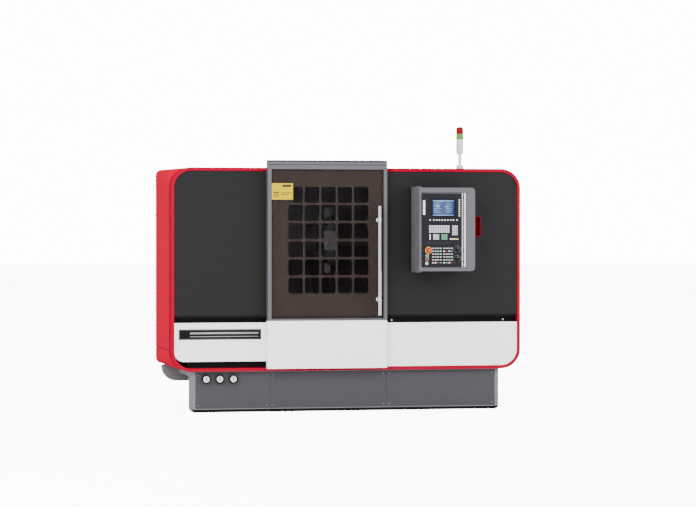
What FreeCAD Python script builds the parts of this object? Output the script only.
import FreeCAD, Part
import math
import os
import re
import Sketcher

# A slant-bed turning lathe, in mm. +X runs from the headstock to the tailstock, +Y from the
# operator to the back, +Z up. The floor is Z = 0 and the middle of the machine is X = Y = 0.

doc = FreeCAD.newDocument("turning_lathe")
sheet = doc.addObject("Spreadsheet::Sheet", "sizes")
names = []
ties = {}
V = FreeCAD.Vector


def sizes(**values):
    """Add named driving dimensions to the sheet, one row each."""
    for name, value in values.items():
        names.append(name)
        row = str(len(names))
        sheet.set("A" + row, name)
        sheet.set("B" + row, str(value))
        sheet.setAlias("B" + row, name)
    sheet.recompute()


def spelled(formula):
    """A formula with each tied length replaced by its own formula."""
    return re.sub(r"[a-z_]+\w*", lambda m: ties.get(m[0], m[0]), str(formula))


def tie(**formulas):
    """Name lengths that follow from other sizes, each by a formula."""
    for name, formula in formulas.items():
        ties[name] = f"({spelled(formula)})"


def linked(formula):
    """A formula with each sheet name written in full."""
    return re.sub(r"[a-z_]+\w*", lambda m: "sizes." + m[0] if m[0] in names else m[0], spelled(formula))


def bind(thing, prop, formula):
    thing.setExpression(prop, linked(formula))


def at(formula):
    """The present value of a formula, as a number."""
    value = sheet.evalExpression(spelled(formula))
    return float(getattr(value, "Value", value))


def times(count):
    """The steps of a loop that repeats as often as a size says."""
    return range(round(at(count)))


# Plain building operations ---------------------------------------------------------------

TURN = {"x": FreeCAD.Rotation(V(0, 1, 0), 90), "y": FreeCAD.Rotation(V(1, 0, 0), -90),
        "z": FreeCAD.Rotation()}


def place(thing, x, y, z):
    bind(thing, "Placement.Base.x", x)
    bind(thing, "Placement.Base.y", y)
    bind(thing, "Placement.Base.z", z)
    return thing


def block(name, x0, x1, y0, y1, z0, z1):
    """A rectangular block between two planes along each axis."""
    box = doc.addObject("Part::Box", name)
    bind(box, "Length", f"({x1}) - ({x0})")
    bind(box, "Width", f"({y1}) - ({y0})")
    bind(box, "Height", f"({z1}) - ({z0})")
    return place(box, x0, y0, z0)


def rod(name, axis, radius, start, length, x, y, z):
    """A round bar along an axis, from its start for its length."""
    bar = doc.addObject("Part::Cylinder", name)
    bind(bar, "Radius", radius)
    bind(bar, "Height", length)
    bar.Placement.Rotation = TURN[axis]
    base = {"x": x, "y": y, "z": z}
    base[axis] = start
    return place(bar, base["x"], base["y"], base["z"])


def join(label, *pieces):
    whole = doc.addObject("Part::MultiFuse", label)
    whole.Shapes = list(pieces)
    whole.Refine = True
    return whole


def group(label, *pieces):
    """Separate solids kept together in one node."""
    whole = doc.addObject("Part::Compound", label)
    whole.Links = list(pieces)
    return whole


def carve(label, base, *tools):
    for count, tool in enumerate(tools, 1):
        rest = doc.addObject("Part::Cut", label if count == len(tools) else f"{label}_cut{count}")
        rest.Base = base
        rest.Tool = tool
        base = rest
    return base


def body(label):
    return doc.addObject("PartDesign::Body", label)


def origin(part, role):
    return [item for item in part.Origin.OriginFeatures if item.Role == role][0]


def outline(part, name, plane, corners, offset="0", arcs=None):
    """A closed sketch through corners given as formulas. arcs maps the number of an edge to its
    radius and the side of the chord on which its centre lies."""
    sketch = part.newObject("Sketcher::SketchObject", name)
    sketch.AttachmentSupport = [(origin(part, plane), "")]
    sketch.MapMode = "FlatFace"
    bind(sketch, "AttachmentOffset.Base.z", offset)
    points = [V(at(x), at(y), 0) for x, y in corners]
    count = len(points)
    starts = {}
    for edge in range(count):
        first, last = points[edge], points[(edge + 1) % count]
        if arcs and edge in arcs:
            radius, side = arcs[edge]
            chord = last - first
            rise = math.sqrt(at(radius) ** 2 - chord.Length ** 2 / 4)
            across = V(-chord.y, chord.x, 0).normalize() * side
            middle = (first + last) / 2
            crown = middle + across * (rise - at(radius))
            ends = (first, last) if side > 0 else (last, first)
            sketch.addGeometry(Part.Arc(ends[0], crown, ends[1]))
            starts[edge] = (1, 2) if side > 0 else (2, 1)
        else:
            sketch.addGeometry(Part.LineSegment(first, last))
            starts[edge] = (1, 2)
    for edge in range(count):
        after = (edge + 1) % count
        sketch.addConstraint(Sketcher.Constraint("Coincident", edge, starts[edge][1], after,
                                                 starts[after][0]))
    for edge, (x, y) in enumerate(corners):
        for kind, formula, value in (("DistanceX", x, points[edge].x), ("DistanceY", y, points[edge].y)):
            number = sketch.addConstraint(Sketcher.Constraint(kind, -1, 1, edge, starts[edge][0], value))
            bind(sketch, f"Constraints[{number}]", formula)
    for edge, (radius, side) in (arcs or {}).items():
        number = sketch.addConstraint(Sketcher.Constraint("Radius", edge, at(radius)))
        bind(sketch, f"Constraints[{number}]", radius)
    return sketch


def rectangle(x0, x1, y0, y1):
    return [(x0, y0), (x1, y0), (x1, y1), (x0, y1)]


def rounded_rectangle(x0, x1, y0, y1, radius):
    """The corners and corner arcs of a rectangle with rounded corners."""
    corners = [(f"{x0} + {radius}", y0), (f"{x1} - ({radius})", y0), (x1, f"{y0} + {radius}"),
               (x1, f"{y1} - ({radius})"), (f"{x1} - ({radius})", y1), (f"{x0} + {radius}", y1),
               (x0, f"{y1} - ({radius})"), (x0, f"{y0} + {radius}")]
    return corners, {edge: (radius, 1) for edge in (1, 3, 5, 7)}


def pad(part, sketch, length):
    feature = part.newObject("PartDesign::Pad", sketch.Name + "_pad")
    feature.Profile = sketch
    bind(feature, "Length", length)
    return feature


def pocket(part, sketch, length=None):
    """Cut a sketch into the part, through all of it or to a depth against the sketch's normal."""
    feature = part.newObject("PartDesign::Pocket", sketch.Name + "_pocket")
    feature.Profile = sketch
    if length is None:
        feature.Type = 1
        feature.Midplane = True
    else:
        bind(feature, "Length", length)
    return feature


def rounded(part, name, radius, chosen):
    """Fillet the edges of the part's last feature that the test picks by their middle point."""
    doc.recompute([part])
    last = part.Tip
    edges = []
    for number, edge in enumerate(last.Shape.Edges, 1):
        middle = edge.valueAt((edge.FirstParameter + edge.LastParameter) / 2)
        if chosen(edge, middle):
            edges.append(f"Edge{number}")
    feature = part.newObject("PartDesign::Fillet", name)
    feature.Base = (last, edges)
    bind(feature, "Radius", radius)
    return feature


def along(edge, axis):
    """True for a straight edge that runs along the axis."""
    if edge.Curve.TypeId != "Part::GeomLine":
        return False
    return abs(getattr(edge.tangentAt(edge.FirstParameter), axis)) > 0.999


def turned(label, axis, profile, x, y, z):
    """A turned piece: a profile of (distance along the axis, radius) corners, spun about it."""
    part = body(label)
    if axis == "x":
        corners, plane = profile, "XY_Plane"
    elif axis == "y":
        corners, plane = [(radius, run) for run, radius in profile], "XY_Plane"
    else:
        corners, plane = [(radius, run) for run, radius in profile], "XZ_Plane"
    spin = part.newObject("PartDesign::Revolution", label + "_turn")
    spin.Profile = outline(part, label + "_profile", plane, corners)
    spin.ReferenceAxis = (origin(part, axis.upper() + "_Axis"), [""])
    part.Tip = spin
    return place(part, x, y, z)


def repeat_round(part, feature, label, count):
    """Repeat a feature evenly about the part's own X axis."""
    ring = part.newObject("PartDesign::PolarPattern", label)
    ring.Originals = [feature]
    ring.Axis = (origin(part, "X_Axis"), [""])
    ring.Angle = 360
    bind(ring, "Occurrences", count)
    part.Tip = ring
    return ring


# Overall places --------------------------------------------------------------------------
# The front plane is the face of the red ring. The spindle line runs along X through
# (spindle_y, spindle_z). Slanted pieces are laid out as (x, slope, lift): slope runs up and
# back along the bed, lift stands off it, and both are measured from the spindle line.

MACHINE = {"machine_length": 2696, "machine_depth": 1478, "machine_height": 1835, "head_inset": 258,
           "head_length": 490, "front_y": -610, "running_gap": 0.3, "sheet_wall": 5, "skin": 4,
           "spindle_y": -200, "spindle_z": 1060, "slant": 45}
sizes(**MACHINE)
tie(ring_half="machine_length / 2", ring_top="machine_height", back_y="front_y + machine_depth",
    head_left="head_inset - ring_half", head_face="head_left + head_length")


def lean(thing):
    """Tilt a piece that was laid out as (x, slope, lift) onto the spindle line."""
    thing.Placement.Rotation = FreeCAD.Rotation(V(1, 0, 0), 1)
    bind(thing, "Placement.Rotation.Angle", "slant * 1deg")
    return place(thing, "0", "spindle_y", "spindle_z")


# Base: a full-width front skirt, a narrower tank behind it, a deck over both and two end brackets,
# welded into one. Screwed-on covers close the front, and a black skid plinth stands under it. -----

BASE = {"base_inset": 158, "base_setback": 45, "base_top": 309, "plinth_height": 22, "tank_inset": 260,
        "skirt_depth": 125, "cabinet_depth": 268, "deck_skin": 39, "base_corner": 12, "bracket_inset": 33,
        "bracket_front": 100, "bracket_back": 140, "bracket_drop": 104, "bracket_rise": 21,
        "bracket_corner": 109, "cover_inset": 32, "cover_gap": 3, "cover_foot": 6, "cover_rim": 6,
        "seam_left": -592, "seam_right": 304}
sizes(**BASE)
tie(base_half="ring_half - base_inset", base_front="front_y + base_setback", base_back="back_y",
    tank_half="base_half - tank_inset", skirt_back="base_front + skirt_depth",
    rear_back="back_y - cabinet_depth", bracket_half="ring_half - bracket_inset",
    bracket_bottom="base_top - bracket_drop", bracket_top="base_top + bracket_rise",
    cover_half="base_half - cover_inset", cover_bottom="plinth_height + cover_foot",
    cover_top="base_top - cover_rim")
deck_bottom = "base_top - deck_skin"

base = body("base_frame")
pad(base, outline(base, "skirt_plan", "XY_Plane",
                  rectangle("-base_half", "base_half", "base_front", "skirt_back"), "plinth_height"),
    "base_top - plinth_height")
pad(base, outline(base, "tank_plan", "XY_Plane",
                  rectangle("-tank_half", "tank_half", "skirt_back", "base_back"), "plinth_height"),
    "base_top - plinth_height")
pad(base, outline(base, "deck_plan", "XY_Plane",
                  rectangle("-base_half", "base_half", "skirt_back", "rear_back"), deck_bottom),
    "deck_skin")
rounded(base, "base_corners", "base_corner",
        lambda edge, middle: along(edge, "z") and middle.y < at("base_front") + 1)
for name, side in (("left_bracket", -1), ("right_bracket", 1)):
    corners = [(f"{side} * tank_half", "bracket_bottom"), (f"{side} * bracket_half", "bracket_bottom"),
               (f"{side} * bracket_half", "bracket_top"), (f"{side} * base_half", "bracket_top"),
               (f"{side} * base_half", deck_bottom), (f"{side} * tank_half", deck_bottom)]
    pad(base, outline(base, name, "XZ_Plane", corners, "-bracket_back"), "bracket_back - bracket_front")
rounded(base, "bracket_corners", "bracket_corner",
        lambda edge, middle: along(edge, "y") and abs(middle.x) > at("bracket_half") - 1
        and middle.z < at("bracket_bottom") + 1)
pocket(base, outline(base, "cover_seat", "XZ_Plane",
                     rectangle("-cover_half", "cover_half", "cover_bottom", "cover_top"), "-base_front"),
       "skin")


def skid(name, half, front, back):
    """A length of the plinth, narrower at the floor than at the base."""
    runner = body(name)
    pad(runner, outline(runner, name + "_face", "XZ_Plane",
                        [(f"plinth_height - {half}", "0"), (f"{half} - plinth_height", "0"),
                         (half, "plinth_height"), (f"-{half}", "plinth_height")], f"-({back})"),
        f"{back} - {front}")
    return runner


join("plinth", skid("front_skid", "base_half", "base_front", "skirt_back"),
     skid("rear_skid", "tank_half", "skirt_back", "base_back"))


def cover(name, x0, x1):
    return block(name, x0, x1, "base_front", "base_front + skin", "cover_bottom", "cover_top")


GAUGES = {"gauge_inset": 214, "gauge_pitch": 103, "gauge_drop": 58, "gauge_body": 29, "gauge_rim": 35,
          "gauge_reach": 32}
sizes(**GAUGES)
tie(gauge_x="gauge_inset - base_half", gauge_z="base_top - gauge_drop")
gauge_places = [f"gauge_x + ({step}) * gauge_pitch" for step in (-1, 0, 1)]
group("base_covers",
      cover("cover_left", "-cover_half", "seam_left"),
      cover("cover_middle", "seam_left + cover_gap", "seam_right"),
      cover("cover_right", "seam_right + cover_gap", "cover_half"))

# Pressure gauges: three cases clamped on the left cover, each with its needle -----------------


def gauge(number, x):
    case = turned(f"gauge_case_{number}", "y",
                  [("0", "0"), ("0", "gauge_body"), ("-gauge_reach * 0.6", "gauge_body"),
                   ("-gauge_reach * 0.6", "gauge_rim"), ("-gauge_reach", "gauge_rim"),
                   ("-gauge_reach", "gauge_rim - 4"), ("3 - gauge_reach", "gauge_rim - 4"),
                   ("3 - gauge_reach", "0")],
                  x, "base_front", "gauge_z")
    needle = block(f"gauge_needle_{number}", f"{x} - 1.5", f"{x} + 1.5", "base_front + 1.5 - gauge_reach",
                   "base_front + 3 - gauge_reach", "gauge_z - 5", "gauge_z + gauge_rim - 12")
    return join(f"gauge_{number}", case, needle)


group("pressure_gauges", *[gauge(number, x) for number, x in enumerate(gauge_places, 1)])

# Bed: one casting with a slanted face, four hardened ways and a screw bearing ------------------

BED = {"bed_lead": 20, "bed_inset": 228, "bed_clearance": 100, "face_drop": 400, "way_drop": 360,
       "toe_slope": -330, "crest_inset": 100, "way_lead": 28, "way_trail": 64, "tail_way_low": -310,
       "tail_way_high": -10, "carriage_way_low": 20, "way_margin": 40, "way_width": 60, "screw_drop": 378,
       "screw_radius": 14, "screw_lead": 16, "screw_trail": 42}
sizes(**BED)
tie(crest_slope="rear_back - crest_inset", carriage_way_high="crest_slope - way_margin",
    screw_slope="(carriage_way_low + carriage_way_high) / 2", bed_left="head_left - bed_lead",
    bed_right="ring_half - bed_inset", bed_back="rear_back - bed_clearance",
    way_start="head_face + way_lead", way_end="bed_right - way_trail",
    screw_start="way_start + screw_lead", screw_end="bed_right - screw_trail")


def slope_y(slope, lift):
    return f"spindle_y + ({slope}) * cos(slant * 1deg) - ({lift}) * sin(slant * 1deg)"


def slope_z(slope, lift):
    return f"spindle_z + ({slope}) * sin(slant * 1deg) + ({lift}) * cos(slant * 1deg)"


casting = body("bed_wedge")
pad(casting, outline(casting, "bed_section", "YZ_Plane",
                     [(slope_y("toe_slope", "-face_drop"), "base_top"), ("bed_back", "base_top"),
                      ("bed_back", slope_z("crest_slope", "-face_drop")),
                      (slope_y("crest_slope", "-face_drop"), slope_z("crest_slope", "-face_drop")),
                      (slope_y("toe_slope", "-face_drop"), slope_z("toe_slope", "-face_drop"))], "bed_left"),
    "bed_right - bed_left")
BED_BAYS = {"rib_width": 60, "rib_bay": 215, "rib_depth": 120, "rib_top": 1000, "rib_bottom": 380}
sizes(**BED_BAYS)
tie(rib_bays="floor((bed_right - bed_left) / (rib_bay + rib_width))")
bay = pocket(casting, outline(casting, "bed_bay", "XZ_Plane",
                              rectangle("bed_left + rib_width", "bed_left + rib_width + rib_bay",
                                        "rib_bottom", "rib_top"), "rib_depth - bed_back"), "rib_depth")
bay.Reversed = False
bays = casting.newObject("PartDesign::LinearPattern", "bed_bays")
bays.Originals = [bay]
bays.Direction = (origin(casting, "X_Axis"), [""])
bays.Mode = "Spacing"
bind(bays, "Offset", "rib_bay + rib_width")
bind(bays, "Occurrences", "rib_bays")
casting.Tip = bays


def way(name, low):
    return block(name, "way_start", "way_end", low, f"({low}) + way_width", "-face_drop - 1", "-way_drop")


bearing = carve("screw_bearing",
                block("bearing_block", "way_start", "way_start + 34", "screw_slope - 30", "screw_slope + 30",
                      "-face_drop - 1", "-way_drop + 4"),
                rod("bearing_bore", "x", "screw_radius + running_gap", "screw_start - running_gap", "34", "0",
                    "screw_slope", "-screw_drop"))
ways = lean(join("bed_ways", way("tail_way_1", "tail_way_low"),
                 way("tail_way_2", "tail_way_high - way_width"),
                 way("carriage_way_1", "carriage_way_low"), way("carriage_way_2",
                                                                "carriage_way_high - way_width"),
                 bearing))
join("bed_casting", casting, ways)

# Headstock: a ribbed cast housing on the slanted face, bored for the spindle -------------------

HEADSTOCK = {"nose_reach": 16, "head_half": 200, "head_lift": 170, "nose_radius": 120,
             "spindle_radius": 74.7, "fin_gap": 24, "fin_depth": 14, "fin_pitch": 70, "fin_start": 80,
             "fin_count": 5}
sizes(**HEADSTOCK)
tie(head_nose="head_face + nose_reach")
fins = [block(f"head_fin_{step}", f"head_left + fin_start + {step} * fin_pitch",
              f"head_left + fin_start + {step} * fin_pitch + fin_gap", "-head_half", "head_half",
              "head_lift - fin_depth", "head_lift") for step in times("fin_count")]
lean(carve("headstock",
           join("head_solid",
                block("head_block", "head_left", "head_face", "-head_half", "head_half", "-face_drop",
                      "head_lift"),
                rod("head_nose_ring", "x", "nose_radius", "head_face", "head_nose - head_face", "0", "0",
                    "0")),
           rod("head_bore", "x", "spindle_radius + running_gap", "head_left", "head_nose - head_left",
               "0", "0", "0"),
           *fins))

# Spindle: one turned shaft with its clamping cylinder, belt pulley and nose flange -------------

SPINDLE = {"spindle_margin": 18, "cylinder_gap": 22, "cylinder_radius": 80, "pulley_width": 80,
           "pulley_gap": 20, "pulley_radius": 110, "groove_depth": 8, "nose_flange": 85,
           "flange_reach": 14, "bar_bore": 26, "draw_radius": 40}
sizes(**SPINDLE)
tie(spindle_back="spindle_margin - ring_half", pulley_end="head_left - pulley_gap",
    pulley_start="pulley_end - pulley_width", cylinder_end="pulley_start - cylinder_gap",
    chuck_back="head_nose + flange_reach")
turned("spindle", "x",
       [("spindle_back", "bar_bore"), ("spindle_back", "cylinder_radius"),
        ("cylinder_end", "cylinder_radius"),
        ("cylinder_end", "draw_radius"), ("pulley_start", "draw_radius"), ("pulley_start", "pulley_radius"),
        ("pulley_start + 10", "pulley_radius"), ("pulley_start + 10", "pulley_radius - groove_depth"),
        ("pulley_end - 10", "pulley_radius - groove_depth"), ("pulley_end - 10", "pulley_radius"),
        ("pulley_end", "pulley_radius"), ("pulley_end", "spindle_radius"),
        ("head_nose + running_gap", "spindle_radius"), ("head_nose + running_gap", "nose_flange"),
        ("chuck_back", "nose_flange"), ("chuck_back", "bar_bore")],
       "0", "spindle_y", "spindle_z")

# Chuck: a three-jaw power chuck with radial slots, and its three stepped jaws ------------------

CHUCK = {"chuck_length": 90, "chuck_radius": 105, "jaw_width": 32, "slot_depth": 22, "jaw_inner": 30,
         "jaw_margin": 9, "jaw_reach": 35, "jaw_step_reach": 15, "jaw_count": 3}
sizes(**CHUCK)
tie(chuck_face="chuck_back + chuck_length", jaw_outer="chuck_radius - jaw_margin",
    jaw_front="chuck_face + jaw_reach", jaw_step="chuck_face + jaw_step_reach")
chuck = turned("chuck_body", "x",
               [("chuck_back", "bar_bore"), ("chuck_back", "chuck_radius"),
                ("chuck_face - 6", "chuck_radius"),
                ("chuck_face", "chuck_radius - 6"), ("chuck_face", "bar_bore")],
               "0", "spindle_y", "spindle_z")
chuck_slot = pocket(chuck, outline(chuck, "jaw_slot", "YZ_Plane",
                                   rectangle("-jaw_width / 2 - running_gap", "jaw_width / 2 + running_gap",
                                             "0", "chuck_radius + 10"), "chuck_face"), "slot_depth")
repeat_round(chuck, chuck_slot, "jaw_slots", "jaw_count")
for number in (step + 1 for step in times("jaw_count")):
    jaw = body(f"chuck_jaw_{number}")
    pad(jaw, outline(jaw, f"jaw_side_{number}", "XZ_Plane",
                     [("chuck_face - slot_depth + running_gap", "jaw_inner"), ("jaw_front", "jaw_inner"),
                      ("jaw_front", "jaw_inner + 16"), ("jaw_step", "jaw_inner + 22"),
                      ("jaw_step", "jaw_inner + 40"), ("chuck_face + 6", "jaw_inner + 46"),
                      ("chuck_face + 6", "jaw_outer"), ("chuck_face - slot_depth + running_gap",
                                                        "jaw_outer")],
                     "-jaw_width / 2"), "jaw_width")
    jaw.Placement.Rotation = FreeCAD.Rotation(V(1, 0, 0), 1)
    bind(jaw, "Placement.Rotation.Angle", f"360deg / jaw_count * {number - 1}")
    place(jaw, "0", "spindle_y", "spindle_z")

# Drive: the spindle motor on the base deck, its pulley, the belt, and the carriage motor --------

DRIVE = {"motor_y": -380, "motor_z": 480, "motor_half": 110, "motor_gap": 10, "motor_length": 400,
         "motor_pulley_radius": 75, "shaft_radius": 20, "belt_thickness": 9, "feed_motor_length": 102,
         "feed_motor_half": 60, "feed_motor_drop": 280}
sizes(**DRIVE)
tie(motor_left="pulley_end + motor_gap", motor_right="motor_left + motor_length",
    feed_motor_end="screw_end + feed_motor_length")
spindle_motor = join("spindle_motor",
                     block("motor_case", "motor_left", "motor_right", "motor_y - motor_half",
                           "motor_y + motor_half", "motor_z - motor_half", "motor_z + motor_half"),
                     block("motor_foot", "motor_left + 40", "motor_right - 40", "motor_y - motor_half + 20",
                           "motor_y + motor_half - 20", "base_top", "motor_z - motor_half"))
feed_motor = lean(join("feed_motor",
                       block("feed_motor_case", "screw_end + running_gap", "feed_motor_end",
                             "screw_slope - feed_motor_half", "screw_slope + feed_motor_half",
                             "-face_drop", "-feed_motor_drop"),
                       block("feed_motor_plug", "feed_motor_end - 70", "feed_motor_end - 20",
                             "screw_slope - 20", "screw_slope + 20", "-feed_motor_drop",
                             "30 - feed_motor_drop")))
group("drive_motors", spindle_motor, feed_motor)
turned("motor_pulley", "x",
       [("pulley_start", "0"), ("pulley_start", "motor_pulley_radius"),
        ("pulley_start + 10", "motor_pulley_radius"), ("pulley_start + 10",
                                                       "motor_pulley_radius - groove_depth"),
        ("pulley_end - 10", "motor_pulley_radius - groove_depth"), ("pulley_end - 10", "motor_pulley_radius"),
        ("pulley_end", "motor_pulley_radius"), ("pulley_end", "shaft_radius"),
        ("motor_left - running_gap", "shaft_radius"), ("motor_left - running_gap", "0")],
       "0", "motor_y", "motor_z")


def belt_loop(extra):
    """The flat face inside a belt that runs this far outside the bottoms of both grooves."""
    far = V(0, at("spindle_y"), at("spindle_z"))
    near = V(0, at("motor_y"), at("motor_z"))
    large = at("pulley_radius - groove_depth") + extra
    small = at("motor_pulley_radius - groove_depth") + extra
    line = far - near
    lean_angle = math.atan2(line.z, line.y)
    spread = math.acos((small - large) / line.Length)

    def rim(centre, radius, angle):
        return centre + V(0, math.cos(angle), math.sin(angle)) * radius

    one, two = lean_angle + spread, lean_angle - spread
    wire = Part.Wire([
        Part.Arc(rim(far, large, two), rim(far, large, lean_angle), rim(far, large, one)).toShape(),
        Part.LineSegment(rim(far, large, one), rim(near, small, one)).toShape(),
        Part.Arc(rim(near, small, one), rim(near, small, lean_angle + math.pi),
                 rim(near, small, two)).toShape(),
        Part.LineSegment(rim(near, small, two), rim(far, large, two)).toShape()])
    return Part.Face(wire)


belt = doc.addObject("Part::Feature", "drive_belt")
belt_side = belt_loop(at("running_gap + belt_thickness")).cut(belt_loop(at("running_gap")))
belt.Shape = belt_side.extrude(V(at("pulley_end - pulley_start - 22"), 0, 0))
belt.Placement.Base = V(at("pulley_start + 11"), 0, 0)

# Enclosure ring: the red rounded frame that borders the whole front ----------------------------

RING = {"ring_corner": 151, "ring_lip": 25, "ring_depth": 110}
sizes(**RING)
ring = body("front_ring")
corners, arcs = rounded_rectangle("-ring_half", "ring_half", "base_top", "ring_top", "ring_corner")
pad(ring, outline(ring, "ring_outside", "XZ_Plane", corners, "-front_y - ring_depth", arcs), "ring_depth")
corners, arcs = rounded_rectangle("ring_lip - ring_half", "ring_half - ring_lip", "base_top + ring_lip",
                                  "ring_top - ring_lip", "ring_corner - ring_lip")
pocket(ring, outline(ring, "ring_inside", "XZ_Plane", corners, "0", arcs))

# End shells: red moulded corners, lofted from the ring's large radius to a small one at the back.
# The left one is split by a level seam. The right one is a single piece. -----------------------

SHELLS = {"shell_setback": 380, "shell_back_corner": 45, "shell_rise": 28, "seam_rise": 156,
          "seam_gap": 3, "roof_drop": 35, "flange": 6}
sizes(**SHELLS)
tie(shell_back="rear_back - shell_setback", seam_z="base_top + seam_rise",
    roof_top="ring_top - roof_drop")


def shell_section(part, name, back, side, low, high):
    """One end of a shell, from the seam or flange at its low end to the lip on the roof."""
    radius = "shell_back_corner" if back else "ring_corner"
    bottom = "base_top + shell_rise" if back else "base_top"
    inner = f"{radius} - sheet_wall"
    reach = "ring_corner + flange"

    def x(inward):
        return f"{side} * (ring_half - ({inward}))"

    top = "ring_top"
    if high == "lip":
        outside = [(x(reach), "roof_top"), (x(reach), top), (x(radius), top), (x("0"), f"{top} - {radius}")]
        inside = [(x("sheet_wall"), f"{top} - {radius}"), (x(radius), f"{top} - sheet_wall"),
                  (x(f"{reach} - sheet_wall"), f"{top} - sheet_wall"),
                  (x(f"{reach} - sheet_wall"), "roof_top")]
        arcs = {2: (radius, -side)}
    else:
        outside = [(x("0"), high)]
        inside = [(x("sheet_wall"), high)]
        arcs = {}
    if low == "flange":
        outside += [(x("0"), f"{bottom} + {radius}"), (x(radius), bottom), (x(reach), bottom)]
        inside = [(x(reach), f"{bottom} + sheet_wall"), (x(radius), f"{bottom} + sheet_wall"),
                  (x("sheet_wall"), f"{bottom} + {radius}")] + inside
        arcs[len(outside) - 3] = (radius, -side)
    else:
        outside.append((x("0"), low))
        inside.insert(0, (x("sheet_wall"), low))
    corners = outside + inside
    count = len(corners)
    if low == "flange":
        arcs[len(outside) + 1] = (inner, side)
    if high == "lip":
        arcs[count - 4] = (inner, side)
    offset = "-shell_back" if back else "-front_y - ring_depth"
    return outline(part, name, "XZ_Plane", corners, offset, arcs)


def end_shell(label, side, low, high):
    shell = body(label)
    front = shell_section(shell, label + "_front", False, side, low, high)
    rear = shell_section(shell, label + "_back", True, side, low, high)
    skin_loft = shell.newObject("PartDesign::AdditiveLoft", label + "_loft")
    skin_loft.Profile = front
    skin_loft.Sections = [rear]
    skin_loft.Ruled = True
    return shell


end_shell("left_shell_upper", -1, "seam_z + seam_gap", "lip")
end_shell("left_shell_lower", -1, "flange", "seam_z")
end_shell("right_shell", 1, "flange", "lip")

# Roof and rear cover: folded sheet over the works -----------------------------------------------

ROOF = {"roof_lap": 7, "roof_skin": 6, "rear_drop": 240, "slope_run": 170}
sizes(**ROOF)
tie(roof_half="ring_half - ring_corner + roof_lap", rear_low_top="roof_top - rear_drop",
    slope_start="rear_back - slope_run")
block("roof_panel", "-roof_half", "roof_half", "front_y + ring_depth", "shell_back",
      "roof_top - roof_skin", "roof_top")
rear = body("rear_housing")
pad(rear, outline(rear, "rear_outside", "YZ_Plane",
                  [("shell_back", "base_top"), ("rear_back", "base_top"), ("rear_back", "rear_low_top"),
                   ("slope_start", "roof_top"), ("shell_back", "roof_top")], "-base_half"), "base_half * 2")
pocket(rear, outline(rear, "rear_inside", "YZ_Plane",
                     [("shell_back - 1", "base_top - 1"), ("rear_back - sheet_wall", "base_top - 1"),
                      ("rear_back - sheet_wall", "rear_low_top - 2"),
                      ("slope_start - 2", "roof_top - sheet_wall"),
                      ("shell_back - 1", "roof_top - sheet_wall")],
                     "base_half - sheet_wall"), "base_half * 2 - sheet_wall * 2")


def wing(name, side):
    """The flange that closes the gap between the rear cover and an end shell."""
    inner, outer = f"{side} * (base_half - sheet_wall)", f"{side} * (ring_half - sheet_wall)"
    low, high = (inner, outer) if side > 0 else (outer, inner)
    return block(name, low, high, "shell_back - sheet_wall", "shell_back",
                 "base_top + shell_rise + shell_back_corner", "ring_top - shell_back_corner")


join("rear_cover", rear, wing("wing_left", -1), wing("wing_right", 1))

# Front frame: black bars screwed together: two posts, a head bar, a sill with the lower door track
# and its run to the left, and the two recessed channels between the panels ---------------------

FRAME = {"panel_inset": 8, "door_left": -626, "door_right": 288, "post_inset": 26, "post_width": 60,
         "opening_inset": 52, "sill_height": 21, "head_bar_height": 39, "track_rise": 72,
         "track_depth": 45, "channel_drop": 64, "channel_rise": 14, "recess_drop": 55, "recess_rise": 6,
         "recess_depth": 45, "channel_depth": 52, "fit_gap": 2, "edge_gap": 1, "dark_bottom": 728}
sizes(**FRAME)
tie(post_left="door_left + post_inset", opening_right="door_right - opening_inset",
    frame_back="front_y + ring_depth", opening_top="ring_top - ring_lip - head_bar_height",
    track_high="base_top + track_rise", sill_top="track_high + sill_height",
    channel_low="dark_bottom - channel_drop", channel_high="dark_bottom + channel_rise",
    recess_low="dark_bottom - recess_drop", recess_high="dark_bottom + recess_rise",
    track_right="door_right + fit_gap", panel_edge="ring_half - ring_lip - edge_gap")
frame_front = "front_y + panel_inset + skin"
opening_left = "post_left + post_width"
groove_back = f"{frame_front} + recess_depth"


def grooved(name, x0, x1, y1, z0, z1):
    """A bar with the groove in its front that the folded edge of a dark panel turns into."""
    return carve(name, block(name + "_bar", x0, x1, frame_front, y1, z0, z1),
                 block(name + "_groove", f"({x0}) - 1", f"({x1}) + 1", f"{frame_front} - 1", groove_back,
                       "recess_low", "recess_high"))


def track(name, x0, x1):
    """A sill bar with the slot under its front edge in which the shoes of the door run."""
    return join(name,
                block(name + "_back", x0, x1, f"{frame_front} + track_depth", "frame_back",
                      "base_top + ring_lip", "sill_top"),
                block(name + "_face", x0, x1, frame_front, f"{frame_front} + track_depth",
                      "track_high", "sill_top"))


channel_back = f"{frame_front} + channel_depth"
group("front_frame",
      grooved("left_post", "post_left", opening_left, "frame_back", "sill_top", "opening_top"),
      grooved("right_post", "opening_right", "track_right", "frame_back", "sill_top", "opening_top"),
      block("head_bar", "post_left", "track_right", frame_front, "frame_back", "opening_top",
            "ring_top - ring_lip"),
      track("sill", "post_left", "track_right"),
      track("left_track", "ring_corner - ring_half", "post_left"),
      grooved("left_channel", "-panel_edge", "post_left", channel_back, "channel_low", "channel_high"),
      grooved("right_channel", "track_right", "panel_edge", channel_back, "channel_low", "channel_high"))

# Front panels: two dark upper ones with a folded lower edge, two white lower ones --------------

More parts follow.
